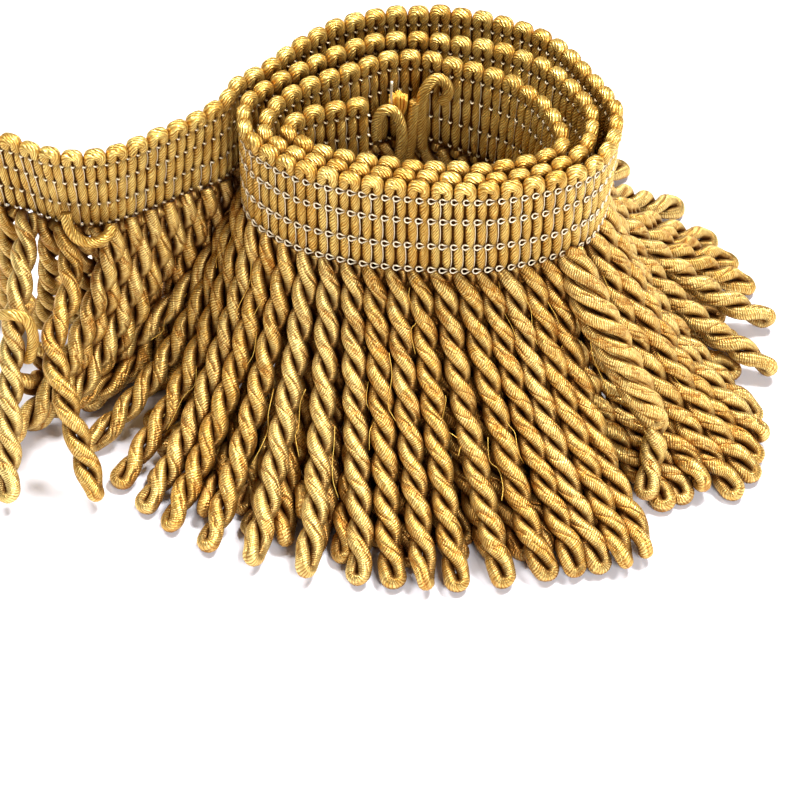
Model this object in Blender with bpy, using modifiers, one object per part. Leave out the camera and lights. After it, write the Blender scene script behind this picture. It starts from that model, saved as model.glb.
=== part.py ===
"""Gold cord fringe trim, wound into a standing coil with a free tail to the left.

A woven heading of ribs with a looped top edge carries a skirt of twisted cords. The
trim stands on its cords, which flare outwards from each turn and end level on the floor.
"""

import math

import bmesh
import bpy
import numpy as np

MM = 0.001

# Heading: heights above the floor, then the ribs along it
HEADING_BOTTOM = 60 * MM
TOP_STITCH_LINE = 82 * MM
LOOP_VALLEY = 85.4 * MM
LOOP_CROWN = 88 * MM
RIB_PITCH = 2.8 * MM
RIBS_IN_LOOP = 2
LOOP_PITCH = RIBS_IN_LOOP * RIB_PITCH
RIB_THICKNESS = 3 * MM
GROOVE_SHARE = 0.7  # thickness left at a groove between two ribs
INWARD_LEAN = math.radians(5)

# Fringe: a strip just under the heading, and one cord below each loop
STRIP_GAP = 0.45 * MM
STRIP_HEIGHT = 2.4 * MM
STRIP_THICKNESS = 2.4 * MM
CORD_LENGTH = 79 * MM
CORD_WIDTH = 4.5 * MM
CORD_TIP_WIDTH = 5.6 * MM
CORD_HEIGHT = 3.9 * MM
CORD_ROOT_WIDTH = 3.8 * MM
SHORTEST_LEVEL = 3 * MM
SHORTEST_REACH = 9 * MM
LONGEST_REACH = 47 * MM
FRINGE_NODES = (
    # part of the route, nodes, cords in each; radius where they land, and that of their tips
    ("inner", 6, 6, 46 * MM, 57 * MM),
    ("middle", 6, 6, 62 * MM, 76 * MM),
    ("outer", 5, 9, 87 * MM, 97 * MM),
    ("tail", 1, 9, 0, 0),
    ("end", 1, 6, 0, 0),
)
SWAY = 1.2  # degrees that a cord's fall may differ from its neighbours'
LEFT_SWING = ((170, 0), (183, 32), (190, 28), (204, 20), (225, 8), (240, 0))  # azimuth, added
SET_CORDS = {
    # number from the inner end: fall direction in degrees, reach and level end in mm, with
    # 0 for a cord that stands on its end
    0: (262, 8, 9),
    1: (262, 8, 9),
    2: (258, 8, 9),
    3: (250, 8, 6),
    34: (208, 10, 6),
    35: (221, 10, 6),
    72: (206, 20, 4),
    117: (191, 28, 0),
    118: (198, 28, 0),
    119: (213, 28, 0),
    120: (214, 28, 0),
    121: (213, 28, 0),
    122: (213, 28, 0),
    123: (213, 28, 0),
    124: (213, 28, 0),
    125: (217, 28, 0),
    126: (98, 17, 8),
    127: (110, 15, 9),
    128: (284, 42, 5),
    129: (118, 12, 9),
    130: (269, 40, 6),
    131: (112, 12, 9),
}

# The coil's middle, seen from the part's own origin at the middle of its box
COIL_X = 12.04 * MM
COIL_Y = 0.9 * MM

# Route of the heading's top edge, in millimetres and degrees from the coil's middle
INNER_END = ((-14, -3), (-22, -5), (-29.5, -8))
AZIMUTHS = (200, 215, 240, 270, 300, 330, 350, 370, 395, 420, 450, 480, 510, 525, 545)
TURNS = (
    # radius of each turn at those azimuths
    (36.3, 34.5, 27.6, 26, 31, 38, 30.8, 23.6, 17, 14, 14.8, 17.1, 20.2, 25.5, 36.5),
    (41.8, 38.8, 31.6, 30, 35.5, 43.3, 42, 35.2, 28.5, 23.2, 22.5, 24.9, 28.8, 34, 44.6),
    (45.9, 42.7, 36.8, 34.9, 40.1, 48.9, 48.2, 42, 38.4, 34.8, 33.2, 34.9, 37.5, 41),
)
TAIL = (
    (-46.5, 4.5),
    (-50, -3),
    (-58.6, -9.3),
    (-67.7, -15),
    (-78.4, -20),
    (-90, -20.3),
    (-103, -16),
    (-117, -12),
)

GOLD = (0.78, 0.52, 0.17, 1)
DEEP_GOLD = (0.66, 0.4, 0.1, 1)


def clear_scene():
    for obj in list(bpy.data.objects):
        bpy.data.objects.remove(obj, do_unlink=True)


def thread_material(name, colour, roughness):
    material = bpy.data.materials.new(name)
    material.use_nodes = True
    shader = material.node_tree.nodes["Principled BSDF"]
    shader.inputs["Base Color"].default_value = colour
    shader.inputs["Roughness"].default_value = roughness
    shader.inputs["Metallic"].default_value = 0
    return material


def route_points():
    """Points along the top edge, from the coil's inner end to the tail's, about the coil's middle."""
    points = list(INNER_END)
    for radii in TURNS:
        for azimuth, radius in zip(AZIMUTHS, radii):
            angle = math.radians(azimuth)
            points.append((radius * math.cos(angle), radius * math.sin(angle)))
    return np.array(points + list(TAIL)) * MM


class Route:
    """A smooth curve through the given points, measured along its length."""

    def __init__(self, points):
        knots = np.concatenate([[0], np.cumsum(np.linalg.norm(np.diff(points, axis=0), axis=1))])
        slopes = np.gradient(points, knots, axis=0)
        fine = np.linspace(0, knots[-1], 4000)
        span = np.clip(np.searchsorted(knots, fine, side="right") - 1, 0, len(knots) - 2)
        size = (knots[span + 1] - knots[span])[:, None]
        t = (fine - knots[span])[:, None] / size
        self.points = (
            (2 * t**3 - 3 * t**2 + 1) * points[span]
            + (t**3 - 2 * t**2 + t) * size * slopes[span]
            + (3 * t**2 - 2 * t**3) * points[span + 1]
            + (t**3 - t**2) * size * slopes[span + 1]
        )
        steps = np.linalg.norm(np.diff(self.points, axis=0), axis=1)
        self.along = np.concatenate([[0], np.cumsum(steps)])
        tangents = np.gradient(self.points, self.along, axis=0)
        tangents /= np.linalg.norm(tangents, axis=1)[:, None]
        self.normals = np.stack([tangents[:, 1], -tangents[:, 0]], axis=1)

    def outward(self, distance):
        """The level direction away from the inside of the coil."""
        return np.array([np.interp(distance, self.along, column) for column in self.normals.T] + [0])

    def place(self, distance, height, offset=0.0):
        """The point at this distance and height, this far outwards of the heading's middle."""
        x, y = (np.interp(distance, self.along, column) for column in self.points.T)
        lean = math.tan(INWARD_LEAN) * (LOOP_CROWN - height)
        return np.array([x + COIL_X, y + COIL_Y, height]) + self.outward(distance) * (offset + lean)


def cord_fall(number, root, landing, tip):
    """A cord's fall direction, its reach until it lands, and the longest level end after that."""
    sway = SWAY * math.sin(2.4 * number)
    if number in SET_CORDS:
        direction, reach, level = SET_CORDS[number]
        return math.radians(direction + sway), reach * MM, level * MM
    x, y = root[0] - COIL_X, root[1] - COIL_Y
    azimuth = math.degrees(math.atan2(y, x)) % 360
    radius = math.hypot(x, y)
    direction = azimuth + np.interp(azimuth, *zip(*LEFT_SWING)) + sway
    reach = np.clip(landing - radius, SHORTEST_REACH, LONGEST_REACH)
    return math.radians(direction), reach, tip - radius - reach


def add_object(name, mesh_data, material, collection):
    mesh = bpy.data.meshes.new(name)
    mesh_data.to_mesh(mesh)
    mesh_data.free()
    mesh.materials.append(material)
    mesh.shade_smooth()
    mesh.set_sharp_from_angle(angle=math.radians(50))
    obj = bpy.data.objects.new(name, mesh)
    collection.objects.link(obj)
    return obj


def bent_grid(columns, rows, place):
    """A grid of faces whose point at column i and row j is moved to place(i, j)."""
    grid = bmesh.new()
    bmesh.ops.create_grid(grid, x_segments=columns, y_segments=rows, size=0.5)
    for vert in grid.verts:
        vert.co = place(vert.index % (columns + 1), vert.index // (columns + 1))
    return grid


def loop_top(step):
    """Height of the looped top edge, at a step of half a rib along the heading."""
    rise = (0, 0.75, 1, 0.75)[step % 4]
    return LOOP_VALLEY + rise * (LOOP_CROWN - LOOP_VALLEY)


def add_heading(route, loops, material, collection):
    """The whole heading: a leaning band with its ribs raised and its top edge in loops."""
    steps = 2 * RIBS_IN_LOOP * loops

    def place(i, j):
        height = (HEADING_BOTTOM, TOP_STITCH_LINE, loop_top(i))[j]
        return route.place(i * RIB_PITCH / 2, height)

    heading = add_object("heading", bent_grid(steps, 2, place), material, collection)
    ribs = heading.vertex_groups.new(name="ribs")
    for vert in heading.data.vertices:
        step = vert.index % (steps + 1)
        on_top_edge = vert.index // (steps + 1) == 2
        raised = step % 4 != 0 if on_top_edge else step % 2 == 1
        ribs.add([vert.index], float(raised), "REPLACE")
    shell = heading.modifiers.new("cloth", "SOLIDIFY")
    shell.thickness = RIB_THICKNESS
    shell.offset = 0
    shell.vertex_group = "ribs"
    shell.thickness_vertex_group = GROOVE_SHARE
    return heading


def cord_rings(reach, longest_level, root_height, tip_width):
    """Rings down a cord, as (distance out, height, lean of the ring, width, thickness)."""
    half_way = (CORD_WIDTH + tip_width) / 2
    heel = CORD_HEIGHT / 2 if longest_level else 0
    bend = np.array([(0, root_height), (0.16 * reach, 0.045), (0.62 * reach, 0.016), (reach, heel)])
    rings = []
    stations = ((0.22, 0.95 * CORD_WIDTH, 0.8), (0.48, CORD_WIDTH, 0.95), (0.74, half_way, 1))
    for t, width, thickness in stations:
        weights = ((1 - t) ** 3, 3 * t * (1 - t) ** 2, 3 * t**2 * (1 - t), t**3)
        slopes = ((1 - t) ** 2, 2 * t * (1 - t), t**2)
        out, height = weights @ bend
        run, drop = slopes @ np.diff(bend, axis=0)
        rings.append((out, height, math.atan2(-drop, run), width, thickness))
    if not longest_level:
        return rings + [(reach, 0, math.pi / 2, tip_width, 1.1)]
    landing = math.atan2(rings[-1][1] - heel, reach - rings[-1][0]) / 2
    corners = np.array([(0, root_height)] + [ring[:2] for ring in rings] + [(reach, heel)])
    used = np.linalg.norm(np.diff(corners, axis=0), axis=1).sum()
    level = np.clip(CORD_LENGTH - used, SHORTEST_LEVEL, longest_level)
    rings.append((reach, heel, landing, tip_width, 1 / math.cos(landing)))
    return rings + [(reach + level, heel, 0, tip_width, 1)]


def extrude_cord(strip, face, root, along, outward, fall, rings):
    """Pulls a face of the strip's underside out into a cord, ring by ring."""
    out = np.array([math.cos(fall), math.sin(fall), 0])
    side = np.array([-out[1], out[0], 0])
    if side @ along < 0:
        side = -side
    upper = 1 if out @ outward > 0 else -1
    places = [np.array(vert.co) - root for vert in face.verts]
    corners = [(np.sign(place @ along), upper * np.sign(place @ outward)) for place in places]
    for distance, height, lean, width, thickness in rings:
        face = bmesh.ops.extrude_discrete_faces(strip, faces=[face])["faces"][0]
        middle = np.array([root[0], root[1], height]) + out * distance
        across = np.array([out[0] * math.sin(lean), out[1] * math.sin(lean), math.cos(lean)])
        for vert, (sideways, upwards) in zip(face.verts, corners):
            vert.co = (
                middle
                + side * sideways * width / 2
                + across * upwards * thickness * CORD_HEIGHT / 2
            )


def add_fringe(name, route, first, count, landing, tip, material, collection):
    """A narrow strip under the heading, with its cords pulled out of its underside."""
    top = HEADING_BOTTOM - STRIP_GAP
    bottom = top - STRIP_HEIGHT
    centres = [(first + k + 0.5) * LOOP_PITCH for k in range(count)]
    edges = [first * LOOP_PITCH + STRIP_GAP / 2]
    for centre in centres:
        edges += [centre - CORD_ROOT_WIDTH / 2, centre + CORD_ROOT_WIDTH / 2]
    edges.append((first + count) * LOOP_PITCH - STRIP_GAP / 2)

    strip = bent_grid(
        len(edges) - 1, 1, lambda i, j: route.place(edges[i], bottom, (j - 0.5) * STRIP_THICKNESS)
    )
    upper = bmesh.ops.extrude_face_region(strip, geom=strip.faces[:])
    for vert in upper["geom"]:
        if isinstance(vert, bmesh.types.BMVert):
            vert.co.z = top
    for number, centre in enumerate(centres, first):
        root = route.place(centre, bottom)
        outward = route.outward(centre)
        along = np.array([-outward[1], outward[0], 0])
        fall, reach, level = cord_fall(number, root, landing, tip)
        face = min(strip.faces, key=lambda f: np.linalg.norm(np.array(f.calc_center_median()) - root))
        tip_width = CORD_WIDTH if number in SET_CORDS else CORD_TIP_WIDTH
        rings = cord_rings(reach, level, bottom, tip_width)
        extrude_cord(strip, face, root, along, outward, fall, rings)
    bmesh.ops.recalc_face_normals(strip, faces=strip.faces)
    return add_object(name, strip, material, collection)


def build():
    clear_scene()
    collection = bpy.data.collections.new("cord_fringe_trim")
    bpy.context.scene.collection.children.link(collection)
    heading_gold = thread_material("heading thread", DEEP_GOLD, 0.5)
    cord_gold = thread_material("cord thread", GOLD, 0.42)
    route = Route(route_points())
    loops = sum(nodes * cords for _, nodes, cords, _, _ in FRINGE_NODES)
    add_heading(route, loops, heading_gold, collection)
    first = 0
    for part, nodes, cords, landing, tip in FRINGE_NODES:
        for number in range(1, nodes + 1):
            name = f"fringe_{part}_{number}"
            add_fringe(name, route, first, cords, landing, tip, cord_gold, collection)
            first += cords


build()
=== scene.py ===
"""Gold cord fringe trim, standing in a coil on its own cords, with a free tail to the left.

The heading is a band of pinched ribs under lines of chain stitch, with a looped top
edge. Below each loop hangs one cord of two twisted plies that ends in a folded loop.
Every thread is a swept tube along the route of the trim's solids.
"""

import math

import bpy
import numpy as np
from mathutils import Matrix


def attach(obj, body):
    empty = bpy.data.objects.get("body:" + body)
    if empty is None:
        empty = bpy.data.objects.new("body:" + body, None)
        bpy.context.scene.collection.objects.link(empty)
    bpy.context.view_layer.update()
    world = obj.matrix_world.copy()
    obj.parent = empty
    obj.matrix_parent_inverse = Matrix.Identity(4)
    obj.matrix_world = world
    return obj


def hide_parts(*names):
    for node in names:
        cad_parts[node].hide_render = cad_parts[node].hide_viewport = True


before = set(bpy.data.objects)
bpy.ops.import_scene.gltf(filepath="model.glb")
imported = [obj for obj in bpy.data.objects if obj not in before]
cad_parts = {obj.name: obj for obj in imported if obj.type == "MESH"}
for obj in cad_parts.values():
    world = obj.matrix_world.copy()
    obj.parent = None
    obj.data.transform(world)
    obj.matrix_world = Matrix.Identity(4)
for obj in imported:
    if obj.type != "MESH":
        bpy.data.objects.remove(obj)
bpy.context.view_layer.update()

MM = 0.001
CHANCE = np.random.default_rng(7)

# Measures of the heading
HEADING_BOTTOM = 60 * MM
STITCH_LINES = (60.2 * MM, 67.9 * MM, 76.1 * MM, 82.6 * MM)
RIB_FOOT = 58.8 * MM
ARCH_FOOT = 84 * MM
ARCH_RISE = 2.3 * MM
ARCH_HALF_WIDTH = 1.45 * MM
CHAIN_RADIUS = 0.23 * MM
KNOT_RADIUS = 0.25 * MM
BETWEEN_STRANDS = (
    # face of the heading, share of its gaps between ribs with a thread in them, and its radius
    (-1, 0.4, 0.12 * MM),
    (1, 0.5, 0.13 * MM),
)
GROUND_ROWS = (60, 64, 67.9, 72, 76.1, 79.3, 82.6, 84.8)
GROUND_THICKNESS = 0.8 * MM
LOOP_CROWN = 88 * MM
RIB_PITCH = 2.8 * MM
LOOP_PITCH = 2 * RIB_PITCH
LOOPS = 132
RIBS = 2 * LOOPS
INWARD_LEAN = (
    # degrees round the coil's middle, degrees that the heading's top leans inwards there
    (-180, 0.5),
    (-70, 0),
    (-25, -4.5),
    (25, -4.5),
    (70, 0),
    (180, 0.5),
)
# Millimetres to the left of the coil's middle, and degrees that the top leans inwards there
TAIL_LEAN = ((45, 0.5), (56, 11))

# Cords: those of each turn, and how far out their tips lie on the floor
TURN_CORDS = (
    # name, first cord, cords, radius of the tips in front, and at the back
    ("inner", 0, 36, 57 * MM, 34 * MM),
    ("middle", 36, 36, 71 * MM, 74 * MM),
    ("outer", 72, 45, 90 * MM, 92 * MM),
    ("tail", 117, 15, 0, 0),
)
SWAY = 1.6  # degrees that a cord may fall to either side of its place in the fan
LEVEL_END = 4 * MM
FALL_BEND = (
    # shares of a cord's reach, and heights: what its bend is drawn towards on its way to the floor
    (0.2, 42 * MM),
    (0.66, 13 * MM),
    (1, 3.5 * MM),
)
FAN = (
    # degrees round the middle where a cord leaves the heading, degrees that its tip lies further on
    (150, 0),
    (170, 4),
    (188, 14.5),
    (205, 17),
    (220, 19),
    (233, 18),
    (243, 17),
    (253, 15),
    (264, 11),
    (274, 7.5),
    (284, 5.5),
    (292, 1),
    (300, -3.5),
    (308, -6.5),
    (322, -10),
    (335, -13),
    (370, -14),
    (400, -8),
    (430, 0),
    (510, 0),
)
SET_CORDS = {
    # number from the inner end: fall direction in degrees, and reach in mm
    0: (262, 8),
    1: (262, 8),
    2: (258, 8),
    3: (250, 8),
    117: (191, 28),
    118: (198, 28),
    119: (213, 28),
    120: (214, 28),
    121: (213, 28),
    122: (213, 28),
    123: (213, 28),
    124: (213, 28),
    125: (217, 28),
    126: (98, 17),
    127: (110, 15),
    129: (118, 12),
    131: (112, 12),
}

SET_LINES = {
    # number from the inner end: the way of the cord, in millimetres, below its root
    128: ((-77, -26.5, 46), (-81.5, -36, 36), (-78.5, -46, 26), (-74.5, -53.5, 14), (-71, -60.5, 5)),
    130: ((-89.5, -30, 48), (-91.5, -35, 38), (-92.5, -44, 26), (-93.5, -53, 13), (-93.5, -61, 5)),
}
BUNDLE_LINE = (
    # the way, in millimetres, of one cord with another wound round it, below their root
    (53, -35.5, 50),
    (59, -41, 40),
    (65.5, -46, 29),
    (70, -49, 22),
)
BUNDLE_TIP = ((70, -52.5, 12), (68, -60, 5))
BUNDLE_CORD = 91
WOUND_CORD = 92
WOUND_PLIES = 4
WOUND_TURN = 27 * MM
SET_LINES[BUNDLE_CORD] = BUNDLE_LINE + BUNDLE_TIP

# Cords: their length, and how they settle beside each other
CORD_LENGTH = 80 * MM
LINE_POINTS = 20
CORD_SPACING = (
    # millimetres from a cord's root, and how far apart the middles of two cords settle there
    (0, 6, 18, 66, 77),
    (4.2, 4.6, 5.5, 5.6, 6.8),
)
BUNDLE_ROOM = 5 * MM
SETTLE_ROUNDS = 260
NEIGHBOUR_REACH = 9 * MM  # how near a point of another cord has to be to push
PUSH = 0.4  # share of an overlap that one round takes away
LONGEST_PUSH = 0.6 * MM
SINK = 0.03 * MM  # how far a cord sinks in one round
STIFFNESS = 0.25  # share of a bend that one round takes away
TIP_HOLD = 0.04  # share of its way back to where it first lay that a tip goes in one round
FLAT_TIP = (2.8 * MM, 2 * MM)  # lowest heights of the last two points where the end loop lies flat
EDGE_ON_TIP = (3.6 * MM, 4 * MM)
EDGE_ON_SHARE = 0.25

# Cords: their plies
PLY_RADIUS = 1.6 * MM
PLY_OFFSET = 1.62 * MM
PLY_FLATNESS = 1.14
SWELL = 0.12
TURN_LENGTH = 18 * MM
END_LOOP_RADIUS = 1.48 * MM
END_LOOP_LENGTH = 7 * MM
END_LOOP_FLATNESS = 1.08
SLACK_TIP = 2 * MM  # where the twist of the two plies is slack
THICKNESS_WAVES = (7, 13, 21)
WOUND_PLY_RADIUS = 1.75 * MM
WOUND_OFFSET = (1.6 * MM, 1.9 * MM)  # at both ends, and how much more half way
ROOT_HEIGHT = HEADING_BOTTOM - 1.3 * MM
ROOT_DEPTH = 0.8 * MM

COIL_X = 12.04 * MM
COIL_Y = 0.9 * MM

# Route of the heading's top edge, in millimetres and degrees from the coil's middle
INNER_END = ((-14, -3), (-22, -5), (-29.5, -8))
AZIMUTHS = (200, 215, 240, 270, 300, 330, 350, 370, 395, 420, 450, 480, 510, 525, 545)
TURNS = (
    # radius of each turn at those azimuths
    (36.3, 34.5, 28.6, 27.3, 32, 38.6, 30.8, 23.6, 17, 14, 14.8, 17.1, 20.2, 25.5, 36.5),
    (41.8, 38.8, 32.7, 31.2, 36.5, 43.9, 42, 35.2, 28.5, 23.2, 22.5, 24.9, 28.8, 34, 44.6),
    (45.9, 42.7, 36.8, 34.9, 40.1, 48.9, 48.2, 42, 38.4, 34.8, 33.2, 34.9, 37.5, 41),
)
TAIL = (
    (-46.5, 4.5),
    (-50, -3),
    (-58.6, -11.4),
    (-67.7, -17.6),
    (-78.4, -22.9),
    (-90, -23.2),
    (-103, -17.6),
    (-117, -13),
)


def unit(vectors):
    return vectors / np.maximum(np.linalg.norm(vectors, axis=-1, keepdims=True), 1e-12)


def smooth_step(x):
    x = np.clip(x, 0, 1)
    return x * x * (3 - 2 * x)


def route_points():
    points = list(INNER_END)
    for radii in TURNS:
        for azimuth, radius in zip(AZIMUTHS, radii):
            angle = math.radians(azimuth)
            points.append((radius * math.cos(angle), radius * math.sin(angle)))
    return np.array(points + list(TAIL)) * MM


class Route:
    """A smooth curve through the given points, measured along its length."""

    def __init__(self, points):
        knots = np.concatenate([[0], np.cumsum(np.linalg.norm(np.diff(points, axis=0), axis=1))])
        slopes = np.gradient(points, knots, axis=0)
        fine = np.linspace(0, knots[-1], 4000)
        span = np.clip(np.searchsorted(knots, fine, side="right") - 1, 0, len(knots) - 2)
        size = (knots[span + 1] - knots[span])[:, None]
        t = (fine - knots[span])[:, None] / size
        self.points = (
            (2 * t**3 - 3 * t**2 + 1) * points[span]
            + (t**3 - 2 * t**2 + t) * size * slopes[span]
            + (3 * t**2 - 2 * t**3) * points[span + 1]
            + (t**3 - t**2) * size * slopes[span + 1]
        )
        steps = np.linalg.norm(np.diff(self.points, axis=0), axis=1)
        self.along = np.concatenate([[0], np.cumsum(steps)])
        tangents = unit(np.gradient(self.points, self.along, axis=0))
        self.normals = np.stack([tangents[:, 1], -tangents[:, 0]], axis=1)

    def outward(self, distance):
        """The level direction away from the inside of the coil, at each distance."""
        x, y = (np.interp(distance, self.along, column) for column in self.normals.T)
        return unit(np.stack([x, y, np.zeros_like(x)], axis=-1))

    def place(self, distance, height, offset=0.0):
        """The points at these distances and heights, this far outwards of the heading's middle."""
        distance, height, offset = np.broadcast_arrays(distance, height, offset)
        x, y = (np.interp(distance, self.along, column) for column in self.points.T)
        lean = np.interp(np.degrees(np.arctan2(y, x)), *zip(*INWARD_LEAN))
        lean = np.maximum(lean, np.interp(-x / MM, *zip(*TAIL_LEAN), left=-90))
        out = (offset + np.tan(np.radians(lean)) * (LOOP_CROWN - height))[..., None]
        return np.stack([x + COIL_X, y + COIL_Y, height], axis=-1) + self.outward(distance) * out


ROUTE = Route(route_points())


# Tubes


def sweep(paths, facing, radii, sides, tone, start_v=None):
    """Closed tubes along paths (tube, point, xyz). facing is the way that u = 0 points, and radii
    (tube, point, 2) are the half widths along it and across it. Returns the parts of a mesh."""
    tubes, points = paths.shape[:2]
    tangent = unit(np.gradient(paths, axis=1))
    side = unit(np.cross(tangent, facing))
    face = np.cross(side, tangent)
    angle = np.arange(sides) * 2 * math.pi / sides
    cos, sin = np.cos(angle)[:, None], np.sin(angle)[:, None]
    ring = cos * face[:, :, None] * radii[:, :, None, :1] + sin * side[:, :, None] * radii[:, :, None, 1:]
    verts = (paths[:, :, None] + ring).reshape(-1, 3)

    index = np.arange(tubes * points * sides).reshape(tubes, points, sides)
    after = np.roll(index, -1, axis=2)
    quads = np.stack([index[:, :-1], after[:, :-1], after[:, 1:], index[:, 1:]], axis=-1)
    caps = np.concatenate([index[:, 0, ::-1], index[:, -1]])

    steps = np.linalg.norm(np.diff(paths, axis=1), axis=2)
    length = np.concatenate([np.zeros((tubes, 1)), np.cumsum(steps, axis=1)], axis=1) / MM
    if start_v is not None:
        length = length + start_v[:, None]
    u = np.arange(sides + 1) / sides
    corner_u = np.stack([u[:-1], u[1:], u[1:], u[:-1]], axis=-1)
    corner_u = np.broadcast_to(corner_u, (tubes, points - 1, sides, 4))
    low, high = length[:, :-1, None], length[:, 1:, None]
    corner_v = np.stack([low, low, high, high], axis=-1)
    corner_v = np.broadcast_to(corner_v, (tubes, points - 1, sides, 4))
    quad_uv = np.stack([corner_u, corner_v], axis=-1).reshape(-1, 2)
    cap_v = np.concatenate([length[:, 0], length[:, -1]])
    cap_uv = np.stack([np.broadcast_to(u[:-1], (2 * tubes, sides)), np.repeat(cap_v[:, None], sides, 1)], -1)

    # Painted crevice shade: 0 on the side that u = 0 faces, rising to 1 on the far side, where a ply turns
    # in towards its neighbour.
    inner = (1 - np.broadcast_to(np.cos(angle), index.shape)) / 2
    return {
        "verts": verts,
        "faces": [quads.reshape(-1, 4), caps],
        "uv": [quad_uv.reshape(-1, 4, 2), cap_uv],
        "tone": np.broadcast_to(tone[:, None, None], index.shape).reshape(-1),
        "inner": inner.reshape(-1),
    }


def add_mesh(name, parts, material):
    """One object from the parts of one or more sweeps."""
    loops, uvs, starts, base, corner = [], [], [], 0, 0
    for part in parts:
        for faces, uv in zip(part["faces"], part["uv"]):
            loops.append((faces + base).ravel())
            uvs.append(uv.reshape(-1, 2))
            starts.append(corner + np.arange(len(faces)) * faces.shape[1])
            corner += faces.size
        base += len(part["verts"])
    mesh = bpy.data.meshes.new(name)
    verts = np.concatenate([part["verts"] for part in parts])
    loops, uvs, starts = np.concatenate(loops), np.concatenate(uvs), np.concatenate(starts)
    mesh.vertices.add(len(verts))
    mesh.vertices.foreach_set("co", verts.astype(np.float32).ravel())
    mesh.loops.add(len(loops))
    mesh.loops.foreach_set("vertex_index", loops.astype(np.int32))
    mesh.polygons.add(len(starts))
    mesh.polygons.foreach_set("loop_start", starts.astype(np.int32))
    mesh.uv_layers.new(name="thread").uv.foreach_set("vector", uvs.astype(np.float32).ravel())
    # tone is a random tone of each tube, and inner its painted crevice shade.
    for key in ("tone", "inner"):
        values = np.concatenate([part[key] for part in parts]).astype(np.float32)
        mesh.attributes.new(key, "FLOAT", "POINT").data.foreach_set("value", values)
    mesh.update(calc_edges=True)
    mesh.validate()
    mesh.shade_smooth()
    mesh.materials.append(material)
    obj = bpy.data.objects.new(name, mesh)
    bpy.context.scene.collection.objects.link(obj)
    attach(obj, "root")
    return obj


def smooth_lines(lines, count):
    """Catmull-Rom curves through lines (line, point, xyz), at count even steps."""
    points = lines.shape[1]
    at = np.linspace(0, points - 1, count)
    i = np.clip(at.astype(int), 0, points - 2)
    t = (at - i)[:, None]
    padded = np.concatenate(
        [2 * lines[:, :1] - lines[:, 1:2], lines, 2 * lines[:, -1:] - lines[:, -2:-1]], axis=1
    )
    a, b, c, d = (padded[:, i + k] for k in range(4))
    return 0.5 * (
        2 * b + (c - a) * t + (2 * a - 5 * b + 4 * c - d) * t**2 + (3 * b - a - 3 * c + d) * t**3
    )


# Materials


class Nodes:
    """Short calls for a material's nodes and links."""

    def __init__(self, name):
        self.material = bpy.data.materials.new(name)
        self.material.use_nodes = True
        self.tree = self.material.node_tree
        self.shader = self.tree.nodes["Principled BSDF"]

    def put(self, socket, value):
        if hasattr(value, "is_output"):
            self.tree.links.new(value, socket)
        else:
            socket.default_value = value

    def add(self, kind, inputs=(), **settings):
        node = self.tree.nodes.new(kind)
        for key, value in settings.items():
            setattr(node, key, value)
        for key, value in dict(inputs).items():
            self.put(node.inputs[key], value)
        return node

    def math(self, operation, a, b=0.0, c=0.0, clamp=False):
        node = self.add("ShaderNodeMath", {0: a, 1: b, 2: c}, operation=operation, use_clamp=clamp)
        return node.outputs[0]

    def mix(self, factor, a, b, blend="MIX"):
        node = self.add("ShaderNodeMix", data_type="RGBA", blend_type=blend)
        self.put(node.inputs["Factor"], factor)
        self.put(node.inputs[6], a)
        self.put(node.inputs[7], b)
        return node.outputs[2]

    def remap(self, value, low, high, to_low=0.0, to_high=1.0):
        return self.add(
            "ShaderNodeMapRange", {0: value, 1: low, 2: high, 3: to_low, 4: to_high}
        ).outputs[0]

    def attribute(self, name):
        return self.add("ShaderNodeAttribute", attribute_name=name).outputs["Fac"]

    def noise(self, scale, detail=2.0, vector=None):
        inputs = {"Scale": scale, "Detail": detail}
        if vector is not None:
            inputs["Vector"] = vector
        return self.add("ShaderNodeTexNoise", inputs).outputs["Fac"]


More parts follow.
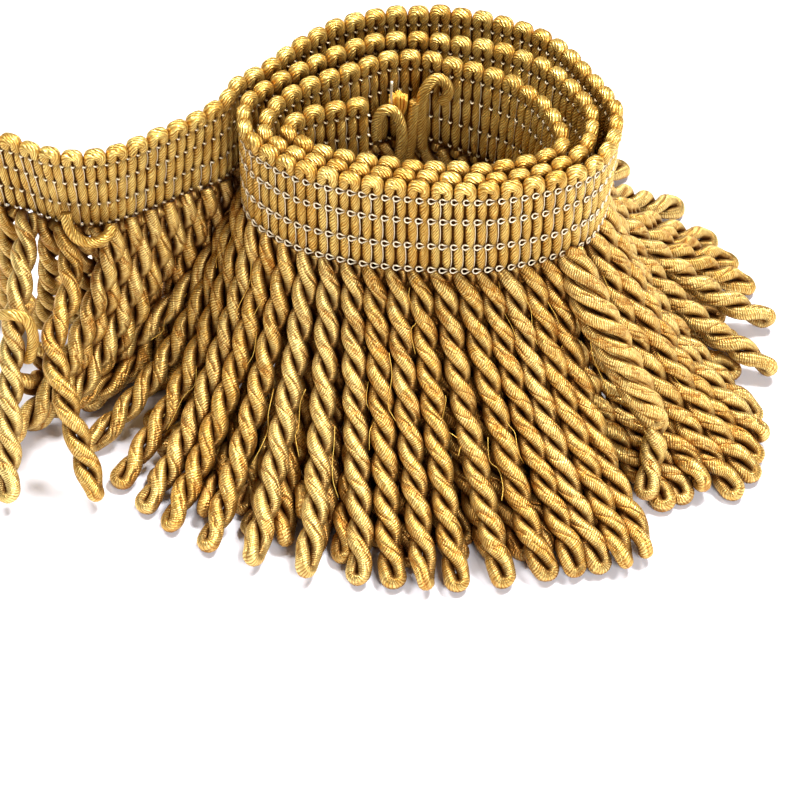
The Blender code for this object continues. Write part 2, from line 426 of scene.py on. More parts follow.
def thread_material(
    name, light, deep, shadow, crevice_shade, pitch, slant, roughness, relief, groove_and_shade, filament_gap_shade, silk, shaded, hollow_shade
):
    """Satin thread wound from fine filaments that cross the tube every pitch millimetres, slant of
    them round it, each relief millimetres high. groove_and_shade is how deep its lengthwise groove
    is and how dark the painted shade in it, filament_gap_shade how dark the painted shade between
    filaments is, and silk how far its gloss is drawn out along it. shaded is how far painted shade
    darkens it beside other threads, and hollow_shade how far painted shade darkens it deep between
    them; shadow and crevice_shade are the colours of that painted shade."""
    n = Nodes(name)
    uv = n.add("ShaderNodeUVMap", uv_map="thread").outputs[0]
    split = n.add("ShaderNodeSeparateXYZ", {0: uv})
    around, along = split.outputs[0], split.outputs[1]
    tone = n.attribute("tone")
    angle = n.math("MULTIPLY", around, 2 * math.pi)
    turn = (n.math("COSINE", angle), n.math("SINE", angle))
    start = n.math("MULTIPLY", tone, 97)

    def grain(along_scale, around_scale, value=along):
        """Noise that closes round the tube, at its own scale along it and around it."""
        x, y = (n.math("MULTIPLY", side, around_scale) for side in turn)
        z = n.math("MULTIPLY_ADD", value, along_scale, start)
        return n.noise(1.0, 2.0, n.add("ShaderNodeCombineXYZ", {0: x, 1: y, 2: z}).outputs[0])

    wander = grain(0.16, 0.5)
    patches = grain(0.2, 1.1)
    phase = n.math("ADD", n.math("DIVIDE", along, pitch), n.math("MULTIPLY", around, slant))
    phase = n.math("ADD", phase, n.math("MULTIPLY", wander, 3.0))
    wave = n.math("MULTIPLY_ADD", n.math("SINE", n.math("MULTIPLY", phase, 2 * math.pi)), 0.5, 0.5)
    filaments = grain(1.7, 0.35, phase)
    strand = n.math("ADD", n.math("MULTIPLY", wave, 0.6), n.math("MULTIPLY", filaments, 0.5))

    # A lengthwise groove off to one side of the thread: drawn in the bump, and as painted shade in the
    # colour.
    shift = n.math("MULTIPLY_ADD", wander, 0.7, -0.29)
    across = n.math("SINE", n.math("MULTIPLY", n.math("ADD", around, shift), math.pi))
    groove_relief_and_shade = n.remap(n.math("ABSOLUTE", across), 0.0, 0.42, 1.0, 0.0)
    groove_relief_and_shade = n.math("MULTIPLY", n.math("POWER", groove_relief_and_shade, 1.6), n.remap(patches, 0.34, 0.56, 0.0, groove_and_shade))

    fair = n.math("ADD", n.math("MULTIPLY", filaments, 0.9), n.math("MULTIPLY", tone, 0.25))
    colour = n.mix(n.remap(fair, 0.25, 0.7), deep, light)
    # Painted shade in the gaps between filaments.
    colour = n.mix(n.remap(strand, 0.2, 0.62, filament_gap_shade, 0.0), colour, shadow)
    colour = n.mix(n.remap(patches, 0.5, 0.7, 0.0, 0.3), colour, deep)
    # Painted shade along the lengthwise groove.
    colour = n.mix(n.math("MULTIPLY", groove_relief_and_shade, 0.8), colour, shadow)
    # Painted shade: darker where ambient occlusion finds other threads near, and darkest deep between them.
    open_sky = n.add("ShaderNodeAmbientOcclusion", {"Distance": 7 * MM}, samples=4).outputs["AO"]
    colour = n.mix(n.remap(open_sky, 0.15, 0.85, shaded, 0.0), colour, shadow)
    colour = n.mix(n.remap(open_sky, 0.1, 0.45, hollow_shade, 0.0), colour, crevice_shade)
    # Painted crevice shade from the inner attribute, on the side of each tube that faces its neighbour.
    depth = n.math("POWER", n.attribute("inner"), 1.3)
    colour = n.mix(n.math("MULTIPLY", depth, 0.95), colour, crevice_shade)
    n.put(n.shader.inputs["Base Color"], colour)
    n.put(n.shader.inputs["Roughness"], n.remap(strand, 0.1, 0.9, roughness + 0.2, roughness))
    height = n.math("SUBTRACT", strand, n.math("MULTIPLY", groove_relief_and_shade, 2.4))
    bump = n.add(
        "ShaderNodeBump", {"Strength": 1.0, "Distance": relief * MM, "Height": height}
    ).outputs[0]
    n.put(n.shader.inputs["Normal"], bump)
    tangent = n.add("ShaderNodeTangent", direction_type="UV_MAP", uv_map="thread").outputs[0]
    n.put(n.shader.inputs["Tangent"], tangent)
    n.shader.inputs["Anisotropic"].default_value = silk
    n.shader.inputs["Anisotropic Rotation"].default_value = 0.25
    n.shader.inputs["Metallic"].default_value = 0.75
    n.shader.inputs["Specular IOR Level"].default_value = 0.4
    n.shader.inputs["Specular Tint"].default_value = (1, 0.93, 0.7, 1)
    return n.material


def stage_material():
    n = Nodes("pale floor")
    n.shader.inputs["Base Color"].default_value = (0.85, 0.86, 0.97, 1)
    n.shader.inputs["Roughness"].default_value = 0.8
    return n.material


CORD_GOLD = thread_material(
    "bullion thread",
    light=(1.0, 0.8, 0.3, 1),
    deep=(0.66, 0.36, 0.05, 1),
    shadow=(0.34, 0.11, 0.008, 1),
    crevice_shade=(0.09, 0.022, 0.002, 1),
    pitch=0.5,
    slant=-5,
    roughness=0.34,
    relief=0.19,
    groove_and_shade=1.0,
    filament_gap_shade=0.8,
    silk=0.8,
    shaded=0.95,
    hollow_shade=0.8,
)
RIB_GOLD = thread_material(
    "heading gimp",
    light=(0.95, 0.73, 0.23, 1),
    deep=(0.58, 0.29, 0.035, 1),
    shadow=(0.32, 0.12, 0.01, 1),
    crevice_shade=(0.09, 0.025, 0.003, 1),
    pitch=1.05,
    slant=-11,
    roughness=0.29,
    relief=0.24,
    groove_and_shade=0.0,
    filament_gap_shade=0.9,
    silk=0.4,
    shaded=0.6,
    hollow_shade=0.0,
)
TUFT_GOLD = thread_material(
    "frayed thread",
    light=(1.0, 0.78, 0.2, 1),
    deep=(0.9, 0.52, 0.08, 1),
    shadow=(0.8, 0.4, 0.05, 1),
    crevice_shade=(0.5, 0.2, 0.02, 1),
    pitch=0.8,
    slant=-1,
    roughness=0.45,
    relief=0.02,
    groove_and_shade=0.0,
    filament_gap_shade=0.2,
    silk=0.0,
    shaded=0.95,
    hollow_shade=0.0,
)
CREAM = thread_material(
    "cream stitching",
    light=(1.0, 0.95, 0.78, 1),
    deep=(0.92, 0.82, 0.58, 1),
    shadow=(0.5, 0.36, 0.18, 1),
    crevice_shade=(0.3, 0.2, 0.09, 1),
    pitch=0.3,
    slant=-3,
    roughness=0.4,
    relief=0.02,
    groove_and_shade=0.0,
    filament_gap_shade=0.3,
    silk=0.0,
    shaded=0.95,
    hollow_shade=0.0,
)


# The twisted cords


def cord_fall(number, root, front_radius, back_radius):
    """A cord's fall direction, and its reach until it lands on the floor."""
    sway = SWAY * math.sin(7.3 * number + 1)
    if number in SET_CORDS:
        direction, reach = SET_CORDS[number]
        return math.radians(direction + sway), reach * MM
    x, y = root[0] - COIL_X, root[1] - COIL_Y
    azimuth = math.degrees(math.atan2(y, x)) % 360
    azimuth += 360 if azimuth < FAN[0][0] else 0
    loose = 1 + 1.3 * smooth_step((azimuth - 300) / 20)
    azimuth += np.interp(azimuth, *zip(*FAN)) + sway * loose
    back = smooth_step(1.6 * math.sin(math.radians(azimuth)))
    radius = front_radius + (back_radius - front_radius) * back
    radius += 2 * MM * loose * math.sin(5.1 * number)
    run_x = radius * math.cos(math.radians(azimuth)) - x
    run_y = radius * math.sin(math.radians(azimuth)) - y
    return math.atan2(run_y, run_x), math.hypot(run_x, run_y) - LEVEL_END


def first_line(root, out, reach):
    """A cord's centre line before it settles: down from its root, out, and level at its end."""
    bend = np.array([(0, root[2]), *((share * reach, height) for share, height in FALL_BEND)])
    t = np.linspace(0, 1, 60)[:, None]
    weights = np.hstack([(1 - t) ** 3, 3 * t * (1 - t) ** 2, 3 * t**2 * (1 - t), t**3])
    curve = weights @ bend
    curve = np.vstack([curve, (reach + CORD_LENGTH, FALL_BEND[-1][1])])
    length = np.concatenate([[0], np.cumsum(np.linalg.norm(np.diff(curve, axis=0), axis=1))])
    at = np.linspace(0, CORD_LENGTH, LINE_POINTS)
    run, height = (np.interp(at, length, column) for column in curve.T)
    return np.stack([root[0] + out[0] * run, root[1] + out[1] * run, height], axis=-1)


def even_line(points):
    """A smooth curve through the points, as evenly spaced points of a cord's centre line."""
    fine = smooth_lines(np.array(points)[None], 200)[0]
    length = np.concatenate([[0], np.cumsum(np.linalg.norm(np.diff(fine, axis=0), axis=1))])
    at = np.linspace(0, length[-1], LINE_POINTS)
    return np.stack([np.interp(at, length, column) for column in fine.T], axis=-1)


def settle(lines, floor, held):
    """Eases the cords apart: each keeps its length, bends softly and stays on the floor.
    Those that are held stay as they are, and the others give way to them."""
    cords, points = lines.shape[:2]
    gap = CORD_LENGTH / (points - 1)
    flat = lines.reshape(-1, 3).copy()
    cord = np.repeat(np.arange(cords), points)
    step = np.tile(np.arange(points), cords)
    free = ((step > 1) & ~held[cord]).astype(float)
    wanted = np.interp(step * gap / MM, *CORD_SPACING) * MM
    wanted[(cord == BUNDLE_CORD) & (step > 2) & (step < 12)] += BUNDLE_ROOM
    start = lines.copy()
    for turn in range(SETTLE_ROUNDS):
        if turn % 12 == 0:
            pairs = []
            for first in range(0, len(flat), 400):
                block = flat[first : first + 400]
                near = np.linalg.norm(block[:, None] - flat[None], axis=2) < NEIGHBOUR_REACH
                near &= cord[first : first + 400, None] < cord[None]
                i, j = np.nonzero(near)
                pairs.append(np.stack([i + first, j]))
            i, j = np.concatenate(pairs, axis=1)
            apart = (wanted[i] + wanted[j]) / 2
        away = flat[i] - flat[j]
        distance = np.maximum(np.linalg.norm(away, axis=1), 1e-9)
        push = np.maximum(apart - distance, 0) * PUSH / (free[i] + free[j] + 1e-9)
        move = away / distance[:, None] * push[:, None]
        shift = np.zeros_like(flat)
        for axis in range(3):
            shift[:, axis] += np.bincount(i, move[:, axis], len(flat))
            shift[:, axis] -= np.bincount(j, move[:, axis], len(flat))
        size = np.linalg.norm(shift, axis=1, keepdims=True)
        shift *= np.minimum(1, LONGEST_PUSH / np.maximum(size, 1e-9))
        flat += shift * free[:, None]
        flat[:, 2] -= SINK * free
        body = flat.reshape(cords, points, 3)
        body[:, 2:-1] += STIFFNESS * ((body[:, 1:-2] + body[:, 3:]) / 2 - body[:, 2:-1])
        body[:, -1, :2] += TIP_HOLD * (start[:, -1, :2] - body[:, -1, :2])
        for k in range(4):
            for p in list(range(1, points - 1)) + [points - 2]:
                link = body[:, p + 1] - body[:, p]
                long = np.linalg.norm(link, axis=1, keepdims=True)
                slack = link / long * (long - gap)
                body[:, p + 1] -= slack * (1.0 if p == 1 else 0.5)
                if p > 1:
                    body[:, p] += slack * 0.5
        body[..., 2] = np.maximum(body[..., 2], floor)
        body[held] = start[held]
        flat = body.reshape(-1, 3)
    return body


def cord_lines():
    """The settled centre lines of all cords, from their roots in the heading to their tips."""
    lines = np.empty((LOOPS, LINE_POINTS, 3))
    for _, first, count, front_radius, back_radius in TURN_CORDS:
        for number in range(first, first + count):
            root = ROUTE.place((number + 0.5) * LOOP_PITCH, ROOT_HEIGHT, -ROOT_DEPTH)
            if number in SET_LINES:
                lines[number] = even_line([root, *(np.array(SET_LINES[number]) * MM)])
                continue
            fall, reach = cord_fall(number, root, front_radius, back_radius)
            lines[number] = first_line(root, (math.cos(fall), math.sin(fall)), reach)
    floor = np.full((LOOPS, LINE_POINTS), PLY_OFFSET + PLY_RADIUS)
    return lines, floor


def plies(lines, numbers, spacing, sides, loop_points, edge_on, lay):
    """Two twisted plies round each centre line, joined in a folded loop at the tip."""
    count = int(CORD_LENGTH / spacing)
    centre = smooth_lines(lines[numbers], count)
    length = np.linalg.norm(np.diff(centre, axis=1), axis=2).sum(axis=1)
    tangent = unit(np.gradient(centre, axis=1))
    normal = np.empty_like(centre)
    normal[:, 0] = ROUTE.outward((numbers + 0.5) * LOOP_PITCH)
    for k in range(count):
        before = normal[:, max(k - 1, 0)]
        dot = (before * tangent[:, k]).sum(axis=1, keepdims=True)
        normal[:, k] = unit(before - dot * tangent[:, k])
    across = np.cross(normal, tangent)

    # How far round the plies are at the tip, so that its loop lies flat or stands on edge
    level = unit(np.cross(np.array([0, 0, 1.0]), tangent[:, -1]))
    at_level = np.arctan2((level * across[:, -1]).sum(1), (level * normal[:, -1]).sum(1))
    wanted = at_level + np.where(edge_on[numbers], math.pi / 2, 0) + lay[numbers]
    start = -math.pi / 2
    nominal = start + 2 * math.pi * (length - SLACK_TIP) / TURN_LENGTH
    end = wanted + math.pi * np.round((nominal - wanted) / math.pi)

    share = np.linspace(0, 1, count)
    left = (1 - share) * CORD_LENGTH
    rate = 0.3 + 0.7 * smooth_step((left - SLACK_TIP) / (6 * MM))
    progress = np.cumsum(rate) - rate[0]
    progress /= progress[-1]
    phase = start + (end - start)[:, None] * progress

    opening = smooth_step((END_LOOP_LENGTH - left) / (5 * MM))
    offset = PLY_OFFSET + (END_LOOP_RADIUS - PLY_OFFSET) * opening
    offset *= 1 + SWELL * share
    spoke = normal * np.cos(phase)[..., None] + across * np.sin(phase)[..., None]
    keep = int(np.searchsorted(share * CORD_LENGTH, CORD_LENGTH - END_LOOP_RADIUS))
    one = (centre + spoke * offset[:, None])[:, :keep]
    other = (centre - spoke * offset[:, None])[:, :keep]

    middle, d, t = centre[:, keep - 1 : keep], spoke[:, keep - 1 : keep], tangent[:, keep - 1 : keep]
    theta = np.linspace(0, math.pi, loop_points + 2)[1:-1][None, :, None]
    radial = d * np.cos(theta) + t * np.sin(theta)
    bend = middle + radial * END_LOOP_RADIUS * (1 + SWELL)

    path = np.concatenate([one, bend, other[:, ::-1]], axis=1)
    facing = np.concatenate([spoke[:, :keep], radial, -spoke[:, keep - 1 :: -1][:, :keep]], axis=1)
    thick = 1 + SWELL * share[:keep]
    thick = np.concatenate([thick, np.full(loop_points, 1 + SWELL), thick[::-1]])
    own = CHANCE.uniform(0.96, 1.05, len(numbers))[:, None]
    wave = np.linspace(0, 1, path.shape[1])[None] * 2 * math.pi
    for waves in THICKNESS_WAVES:
        own = own + 0.025 * np.sin(waves * wave + CHANCE.uniform(0, 2 * math.pi, (len(numbers), 1)))
    flat = PLY_FLATNESS - (PLY_FLATNESS - END_LOOP_FLATNESS) * opening[:keep]
    flat = np.concatenate([flat, np.full(loop_points, END_LOOP_FLATNESS), flat[::-1]])
    radii = np.stack([PLY_RADIUS * own * thick * 0.97, PLY_RADIUS * own * thick * flat], -1)
    tone = CHANCE.uniform(0, 1, len(numbers))
    part = sweep(path, facing, radii, sides, tone, CHANCE.uniform(0, 50, len(numbers)))
    part["verts"][:, 2] = np.maximum(part["verts"][:, 2], 0.05 * MM)
    return part


def wound_plies():
    """The plies of the cord that is wound round its neighbour, joined in pairs at their ends."""
    root = ROUTE.place((BUNDLE_CORD + 0.5) * LOOP_PITCH, ROOT_HEIGHT)
    centre = smooth_lines(np.array([root, *(np.array(BUNDLE_LINE) * MM)])[None], 70)[0]
    tangent = unit(np.gradient(centre, axis=0))
    side = unit(np.cross(tangent, np.array([0, 0, 1.0])))
    over = np.cross(side, tangent)
    share = np.linspace(0, 1, len(centre))
    steps = np.linalg.norm(np.diff(centre, axis=0), axis=1)
    length = np.concatenate([[0], np.cumsum(steps)])
    offset = WOUND_OFFSET[0] + WOUND_OFFSET[1] * np.sin(math.pi * share**0.7) ** 0.6
    spiral = []
    for ply in range(WOUND_PLIES):
        phase = ply * 2 * math.pi / WOUND_PLIES + 2 * math.pi * (length - length[-1]) / WOUND_TURN
        spoke = side * np.cos(phase)[:, None] + over * np.sin(phase)[:, None]
        spiral.append((centre + spoke * offset[:, None], spoke))
    parts = []
    for one, other in ((0, 1), (2, 3)):
        ends = [spiral[k][0][-1] for k in (one, other)]
        middle, d = (ends[0] + ends[1]) / 2, (ends[0] - ends[1]) / 2
        theta = np.linspace(0, math.pi, 10)[1:-1, None]
        reach = np.linalg.norm(d)
        bend = middle + d * np.cos(theta) + tangent[-1] * reach * np.sin(theta)
        path = np.concatenate([spiral[one][0], bend, spiral[other][0][::-1]])[None]
        facing = np.concatenate([spiral[one][1], bend - middle, spiral[other][1][::-1]])[None]
        radii = np.full(path.shape[:2] + (2,), WOUND_PLY_RADIUS)
        parts.append(sweep(path, facing, radii, 14, CHANCE.uniform(0, 1, 1)))
    return parts


CORD_DETAIL = {
    # turn: millimetres between rings, sides, rings in the end loop
    "inner": (1.7, 8, 7),
    "middle": (1.4, 10, 8),
    "outer": (1.15, 12, 10),
    "tail": (1.15, 12, 10),
}


def add_cords():
    lines, floor = cord_lines()
    edge_on = CHANCE.uniform(0, 1, LOOPS) < EDGE_ON_SHARE
    lay = CHANCE.uniform(-0.35, 0.35, LOOPS)
    floor[:, -2:] = np.where(edge_on[:, None], EDGE_ON_TIP, FLAT_TIP)
    held = np.isin(np.arange(LOOPS), list(SET_LINES))
    lines = settle(lines, floor, held)
    pieces = []
    for name, first, count, _, _ in TURN_CORDS:
        spacing, sides, loop_points = CORD_DETAIL[name]
        numbers = np.array([n for n in range(first, first + count) if n != WOUND_CORD])
        parts = [plies(lines, numbers, spacing * MM, sides, loop_points, edge_on, lay)]
        if first <= WOUND_CORD < first + count:
            parts += wound_plies()
        piece = add_mesh(f"bullion_{name}", parts, CORD_GOLD)
        nodes = [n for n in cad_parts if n.startswith(f"fringe_{name}")]
        if name == "tail":
            nodes.append("fringe_end_1")
        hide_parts(*nodes)
        pieces.append(piece)
    return pieces, lines


# The heading


def row_bulge(height):
    """From 0 at a line of stitches to 1 half way between two lines."""
    lines = np.array(STITCH_LINES)
    row = np.clip(np.searchsorted(lines, height, side="right") - 1, 0, len(lines) - 2)
    share = np.clip((height - lines[row]) / (lines[row + 1] - lines[row]), 0, 1)
    return np.sqrt(np.maximum(np.sin(math.pi * share), 0))


def add_gimp():
    """Each loop of the heading: up one rib, over the looped top edge, and down the next rib."""
    rise = np.linspace(RIB_FOOT, STITCH_LINES[-1], 25)
    theta = np.linspace(0, math.pi, 15)
    cos, sin = np.cos(theta), np.sin(theta)
    arch_u = -ARCH_HALF_WIDTH * np.sign(cos) * np.abs(cos) ** 0.42
    arch_w = ARCH_FOOT + ARCH_RISE * sin**0.5
    half = RIB_PITCH / 2
    u = np.concatenate([np.full(len(rise), -half), arch_u, np.full(len(rise), half)])
    w = np.concatenate([rise, arch_w, rise[::-1]])
    bulge = row_bulge(w)
    top = smooth_step((w - STITCH_LINES[-1] + 0.3 * MM) / (1.2 * MM))
    wide = np.maximum(0.74 + 0.56 * bulge, 0.7 + 0.68 * top) * MM
    deep = np.maximum(0.72 + 0.8 * bulge, 0.8 + 0.95 * top) * MM

    middle = (np.arange(LOOPS) + 0.5)[:, None] * LOOP_PITCH
    wobble = CHANCE.normal(0, 0.05 * MM, (LOOPS, 1))
    lift = CHANCE.normal(0, 0.15 * MM, (LOOPS, 1)) * top
    at = middle + u + wobble
    paths = ROUTE.place(at, w + lift, CHANCE.normal(0, 0.07 * MM, (LOOPS, 1)))
    own = CHANCE.uniform(0.96, 1.04, (LOOPS, 1))
    radii = np.stack([np.broadcast_to(deep, at.shape) * own, np.broadcast_to(wide, at.shape) * own], -1)
    facing = ROUTE.outward(at)
    tone = CHANCE.uniform(0, 1, LOOPS)
    part = sweep(paths, facing, radii, 12, tone, CHANCE.uniform(0, 50, LOOPS))
    # Painted shade in the pinches at the lines of stitch, carried in the inner attribute.
    pinch = (1 - np.maximum(bulge, top)) ** 1.5 * 0.75
    part["inner"] = np.broadcast_to(pinch[None, :, None], (LOOPS, len(w), 12)).ravel()
    piece = add_mesh("heading_gimp", [part], RIB_GOLD)
    return piece


def strands(u, w, out, distances, heights, radius, sides, shade_where_sunk=None):
    """Thin threads through local points (u, w, out), repeated at these distances and heights.
    The last argument is the painted shade at each point, deeper where the thread sinks between the ribs."""
    at = distances[:, None] + u
    paths = ROUTE.place(at, heights[:, None] + w, np.broadcast_to(out, at.shape))
    radii = np.full(at.shape + (2,), radius)
    tone = CHANCE.uniform(0, 1, len(distances))
    part = sweep(paths, ROUTE.outward(at), radii, sides, tone)
    # Painted shade where the thread sinks between the ribs, carried in the inner attribute.
    sunk_shade = np.zeros(len(u)) if shade_where_sunk is None else shade_where_sunk
    part["inner"] = np.broadcast_to(sunk_shade[None, :, None], at.shape + (sides,)).ravel()
    return part


def add_stitches():
    """Lines of chain stitch on the outer face, and thread between the ribs on both."""
    gaps = np.arange(RIBS) * RIB_PITCH + 0.02 * MM
    many = np.tile(gaps, len(STITCH_LINES))
    lines = np.repeat(np.array(STITCH_LINES), len(gaps))
    jitter = CHANCE.normal(0, 0.07 * MM, len(many))

    link_u = np.array([1.7, 1.15, 0.72, 0.25, -0.28, -0.52, -0.28, 0.25, 0.72, 1.15, 1.7]) * MM
    link_w = np.array([0.22, 0.36, 0.58, 0.84, 0.7, 0, -0.7, -0.84, -0.58, -0.36, -0.22]) * MM
    link_o = np.array([0.7, 0.96, 1.1, 1.14, 1.12, 1.1, 1.12, 1.14, 1.1, 0.96, 0.7]) * MM
    # Painted shade of each point of a link: deepest on its legs, where they sink between the ribs.
    sunk_shade = np.array([0.9, 0.6, 0.25, 0, 0, 0, 0, 0, 0.25, 0.6, 0.9])
    face = strands(link_u, link_w, link_o, many + jitter, lines + jitter[::-1], CHAIN_RADIUS, 6, sunk_shade)

    knot_u = np.array([0.5, 0.15, -0.15, -0.5]) * MM
    knot_w = np.array([0.15, -0.1, -0.3, -0.1]) * MM
    knot_o = np.array([-0.6, -1.05, -1.05, -0.6]) * MM
    back = [strands(knot_u, knot_w, knot_o, many + jitter, lines, KNOT_RADIUS, 5)]

    sway = np.array([0.5, 0.3, 0.2, 0.2, 0.3, 0.5]) * MM
    depth = np.array([0.7, 0.82, 0.88, 0.88, 0.82, 0.7]) * MM
    between = []
    for low, high in zip(STITCH_LINES, STITCH_LINES[1:]):
        rise = np.linspace(0.03, 0.97, 6) * (high - low)
        for side, share, radius in BETWEEN_STRANDS:
            some = gaps[CHANCE.uniform(0, 1, len(gaps)) < share]
            foot = np.full(len(some), low)
            between.append(strands(-side * sway, rise, side * depth, some, foot, radius, 4))
    face_piece = add_mesh("chain_stitches", [face], CREAM)
    back_piece = add_mesh("back_stitches", back + between, CREAM)
    return [face_piece, back_piece]


LOOSE_GIMP = (
    # loops of gimp that have come out of the heading, in millimetres
    ((11.4, 9.8, 61), (11.3, 9, 68), (11.2, 8.6, 75), (12.2, 8.8, 81), (14.8, 9.2, 84.2),
     (17.3, 9.4, 82.6), (17.9, 9.6, 79), (16.4, 9.6, 76.2)),
    ((5.6, 7.4, 58), (6.3, 6.8, 65), (6, 6.8, 71), (4.4, 7, 75.2), (1.8, 7.2, 75.6),
     (0.2, 7.4, 72), (0, 8, 66)),
    ((-94, -36, 45.5), (-90.5, -38.5, 48), (-87, -38.5, 46), (-86, -38.5, 40), (-87.5, -38.5, 33),
     (-90, -35, 29.5)),
    ((7.8, 8.6, 58), (8.6, 8.2, 65), (9, 8.2, 71), (9.8, 8.6, 77.4)),
    ((-77, -22, 67), (-76.2, -23.4, 63), (-73.8, -24.2, 60), (-70.2, -24, 59),
     (-67, -22.4, 60), (-66, -20.5, 61.5)),
)
LOOSE_GIMP_RADIUS = 1.5 * MM
TUFT_ROOT = (5.4, 9.4, 72)
TUFT_FIBRES = 90
TUFT_FIBRE_RADIUS = 0.17 * MM
STRAY_FIBRE_RADIUS = 0.08 * MM
WHITE_FIBRE = ((4.2, 9, 72), (3.6, 8.6, 77), (3.8, 8.6, 83.8))
WHITE_FIBRE_RADIUS = 0.4 * MM
STRAY_CORDS = (73, 96)


def tuft_fibres():
    """A frayed end: fibres from one root that spread out to their tips."""
    root = np.array(TUFT_ROOT) * MM
    spread = CHANCE.uniform(-1, 1, (TUFT_FIBRES, 2))
    tip = np.stack([spread[:, 0] * 2.3, spread[:, 1] * 1.2, 7.6 - 1.6 * np.abs(spread[:, 0])], -1) * MM
    start = np.stack([spread[:, 0] * 0.8, spread[:, 1] * 0.6, np.zeros(TUFT_FIBRES)], -1) * MM
    share = np.linspace(0, 1, 7)[None, :, None]
    path = root + start[:, None] + (tip - start)[:, None] * share
    path[..., 0] += spread[:, :1] * 0.5 * MM * np.sin(math.pi * share[..., 0])
    facing = np.broadcast_to(np.array([0, -1.0, 0]), path.shape)
    radii = np.full(path.shape[:2] + (2,), TUFT_FIBRE_RADIUS)
    return sweep(path, facing, radii, 5, CHANCE.uniform(0.3, 1, TUFT_FIBRES))


def stray_fibres(lines):
    """Thin fibres that have worked loose between the cords of the outer turn."""
    paths = []
    for number in range(*STRAY_CORDS):
        first = int(CHANCE.integers(1, 12))
        between = (lines[number, first : first + 5] + lines[number + 1, first : first + 5]) / 2
        out = ROUTE.outward((number + 1) * LOOP_PITCH) + np.array([0, 0, 0.7])
        bow = CHANCE.normal(0, 1, (5, 3)) * 0.9 * MM
        paths.append(between + out * CHANCE.uniform(0.6, 2.2) * MM + bow)
    paths = smooth_lines(np.array(paths), 16)
    radii = np.full(paths.shape[:2] + (2,), STRAY_FIBRE_RADIUS)
    facing = np.broadcast_to(np.array([0, -1.0, 0.2]), paths.shape)
    return sweep(paths, facing, radii, 4, CHANCE.uniform(0, 1, len(paths)))


def add_loose_threads(lines):
    """Loose loops of gimp and a frayed tuft at the inner cut end, one loop below the tail's heading,
    another at the tail's last cord but one, and stray fibres among the cords."""
    parts = []
    for points in LOOSE_GIMP:
        path = smooth_lines(np.array(points)[None] * MM, 60)
        facing = np.broadcast_to(np.array([0, -1, 0.2]), path.shape)
        radii = np.full(path.shape[:2] + (2,), LOOSE_GIMP_RADIUS)
        radii[:, :, 0] *= 0.85
        parts.append(sweep(path, facing, radii, 12, CHANCE.uniform(0, 1, 1)))
        # Half the painted crevice shade.
        parts[-1]["inner"] *= 0.5
    loops = add_mesh("loose_gimp", parts, RIB_GOLD)

    fibres = [tuft_fibres(), stray_fibres(lines)]
    # No painted crevice shade on the fibres.
    for part in fibres:
        part["inner"] *= 0
    tuft = add_mesh("frayed_tuft", fibres, TUFT_GOLD)

    white = smooth_lines(np.array([WHITE_FIBRE]) * MM, 16)
    radii = np.full(white.shape[:2] + (2,), WHITE_FIBRE_RADIUS)
    pale = sweep(white, np.broadcast_to(np.array([0, -1.0, 0]), white.shape), radii, 6, np.ones(1))
    # No painted crevice shade on the white fibre.
    pale["inner"] *= 0
    strays = add_mesh("stray_fibres", [pale], CREAM)
    return [loops, tuft, strays]


def add_ground():
    """The thin woven ground between the ribs, a sheet given thickness by a solidify modifier."""
    columns = RIBS * 2 + 1
    at = np.linspace(0.3 * MM, LOOPS * LOOP_PITCH - 0.3 * MM, columns)
    heights = np.array(GROUND_ROWS) * MM
    rows = len(heights)
    verts = ROUTE.place(at[None, :], heights[:, None]).reshape(-1, 3)
    index = np.arange(rows * columns).reshape(rows, columns)
    quads = np.stack([index[:-1, :-1], index[:-1, 1:], index[1:, 1:], index[1:, :-1]], -1).reshape(-1, 4)
    u = np.broadcast_to(at[None, :] / MM, (rows, columns)).reshape(-1)
    v = np.broadcast_to(heights[:, None] / MM, (rows, columns)).reshape(-1)
    uv = np.stack([u, v], -1)[quads]
    part = {
        "verts": verts,
        "faces": [quads],
        "uv": [uv],
        "tone": np.zeros(len(verts)),
        # Painted shade: the whole ground, hidden between the ribs, is painted in crevice shade.
        "inner": np.ones(len(verts)),
    }
    piece = add_mesh("heading_ground", [part], RIB_GOLD)
    shell = piece.modifiers.new("cloth", "SOLIDIFY")
    shell.thickness = GROUND_THICKNESS
    shell.offset = 0
    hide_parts("heading")
    return piece


# Stage, lights and camera

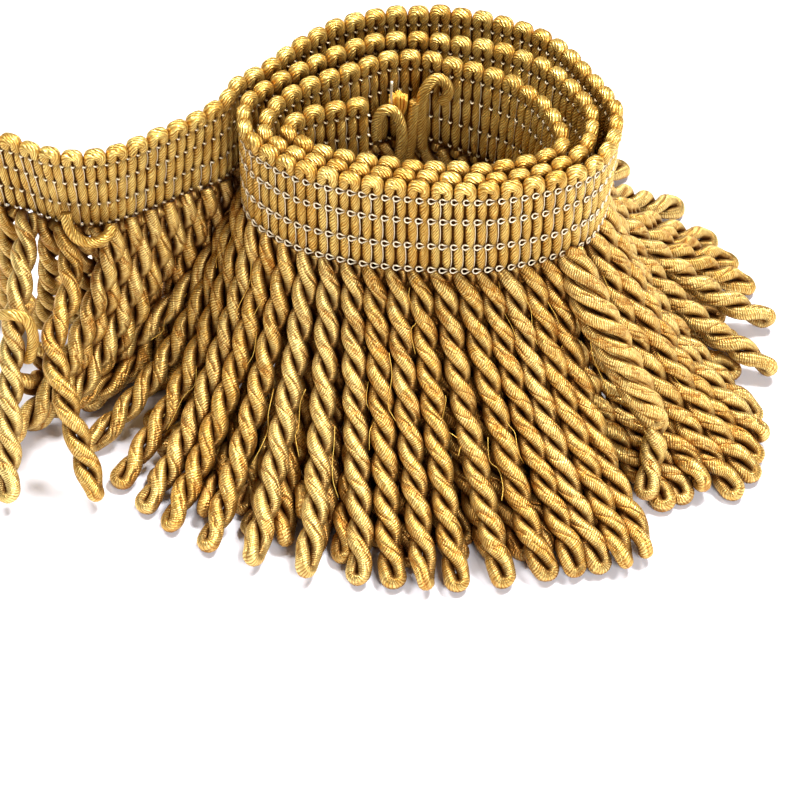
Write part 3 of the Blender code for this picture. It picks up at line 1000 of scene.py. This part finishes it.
FLOOR_HALF = 3.0
CAMERA_PLACE = (0.00584, -0.5537, 0.542)
CAMERA_TILT = 44.5
CAMERA_LENS = 129.3
SENSOR_WIDTH = 36
LIGHT_COLOUR = (1.0, 0.97, 0.91)
LIGHT_AIM = (0, 0, 40 * MM)
WORLD_STRENGTH = 0.19
LIGHTS = (
    # name, place, size in metres, and watts
    ("key", (0.28, 0.1, 0.85), 0.24, 11.5),
    ("side", (-0.35, 0.12, 0.8), 0.24, 5),
    ("front", (0.3, -0.8, 0.6), 0.3, 8),
)


def add_stage():
    mesh = bpy.data.meshes.new("floor")
    corners = [(x * FLOOR_HALF, y * FLOOR_HALF, 0) for x, y in ((-1, -1), (1, -1), (1, 1), (-1, 1))]
    mesh.from_pydata(corners, [], [(0, 1, 2, 3)])
    mesh.materials.append(stage_material())
    floor = bpy.data.objects.new("floor", mesh)
    bpy.context.scene.collection.objects.link(floor)


def add_light(name, place, size, power):
    light = bpy.data.lights.new(name, "AREA")
    light.shape = "DISK"
    light.size = size
    light.energy = power
    light.color = LIGHT_COLOUR
    obj = bpy.data.objects.new(name, light)
    obj.location = place
    way = np.array(place) - np.array(LIGHT_AIM)
    obj.rotation_euler = (
        math.atan2(math.hypot(way[0], way[1]), way[2]),
        0,
        math.atan2(way[1], way[0]) + math.pi / 2,
    )
    bpy.context.scene.collection.objects.link(obj)


def add_camera():
    camera = bpy.data.cameras.new("camera")
    camera.sensor_width = SENSOR_WIDTH
    camera.lens = CAMERA_LENS
    camera.clip_start = 0.01
    obj = bpy.data.objects.new("camera", camera)
    obj.location = CAMERA_PLACE
    obj.rotation_euler = (math.radians(CAMERA_TILT), 0, 0)
    bpy.context.scene.collection.objects.link(obj)
    bpy.context.scene.camera = obj


def light_scene():
    world = bpy.data.worlds.new("studio")
    world.use_nodes = True
    background = world.node_tree.nodes["Background"]
    background.inputs["Color"].default_value = (*LIGHT_COLOUR, 1)
    background.inputs["Strength"].default_value = WORLD_STRENGTH
    bpy.context.scene.world = world
    bpy.context.scene.view_settings.view_transform = "Standard"
    for light in LIGHTS:
        add_light(*light)


add_camera()
light_scene()
add_stage()
cords, cord_middles = add_cords()
gimp = add_gimp()
stitches = add_stitches()
loose = add_loose_threads(cord_middles)
ground = add_ground()
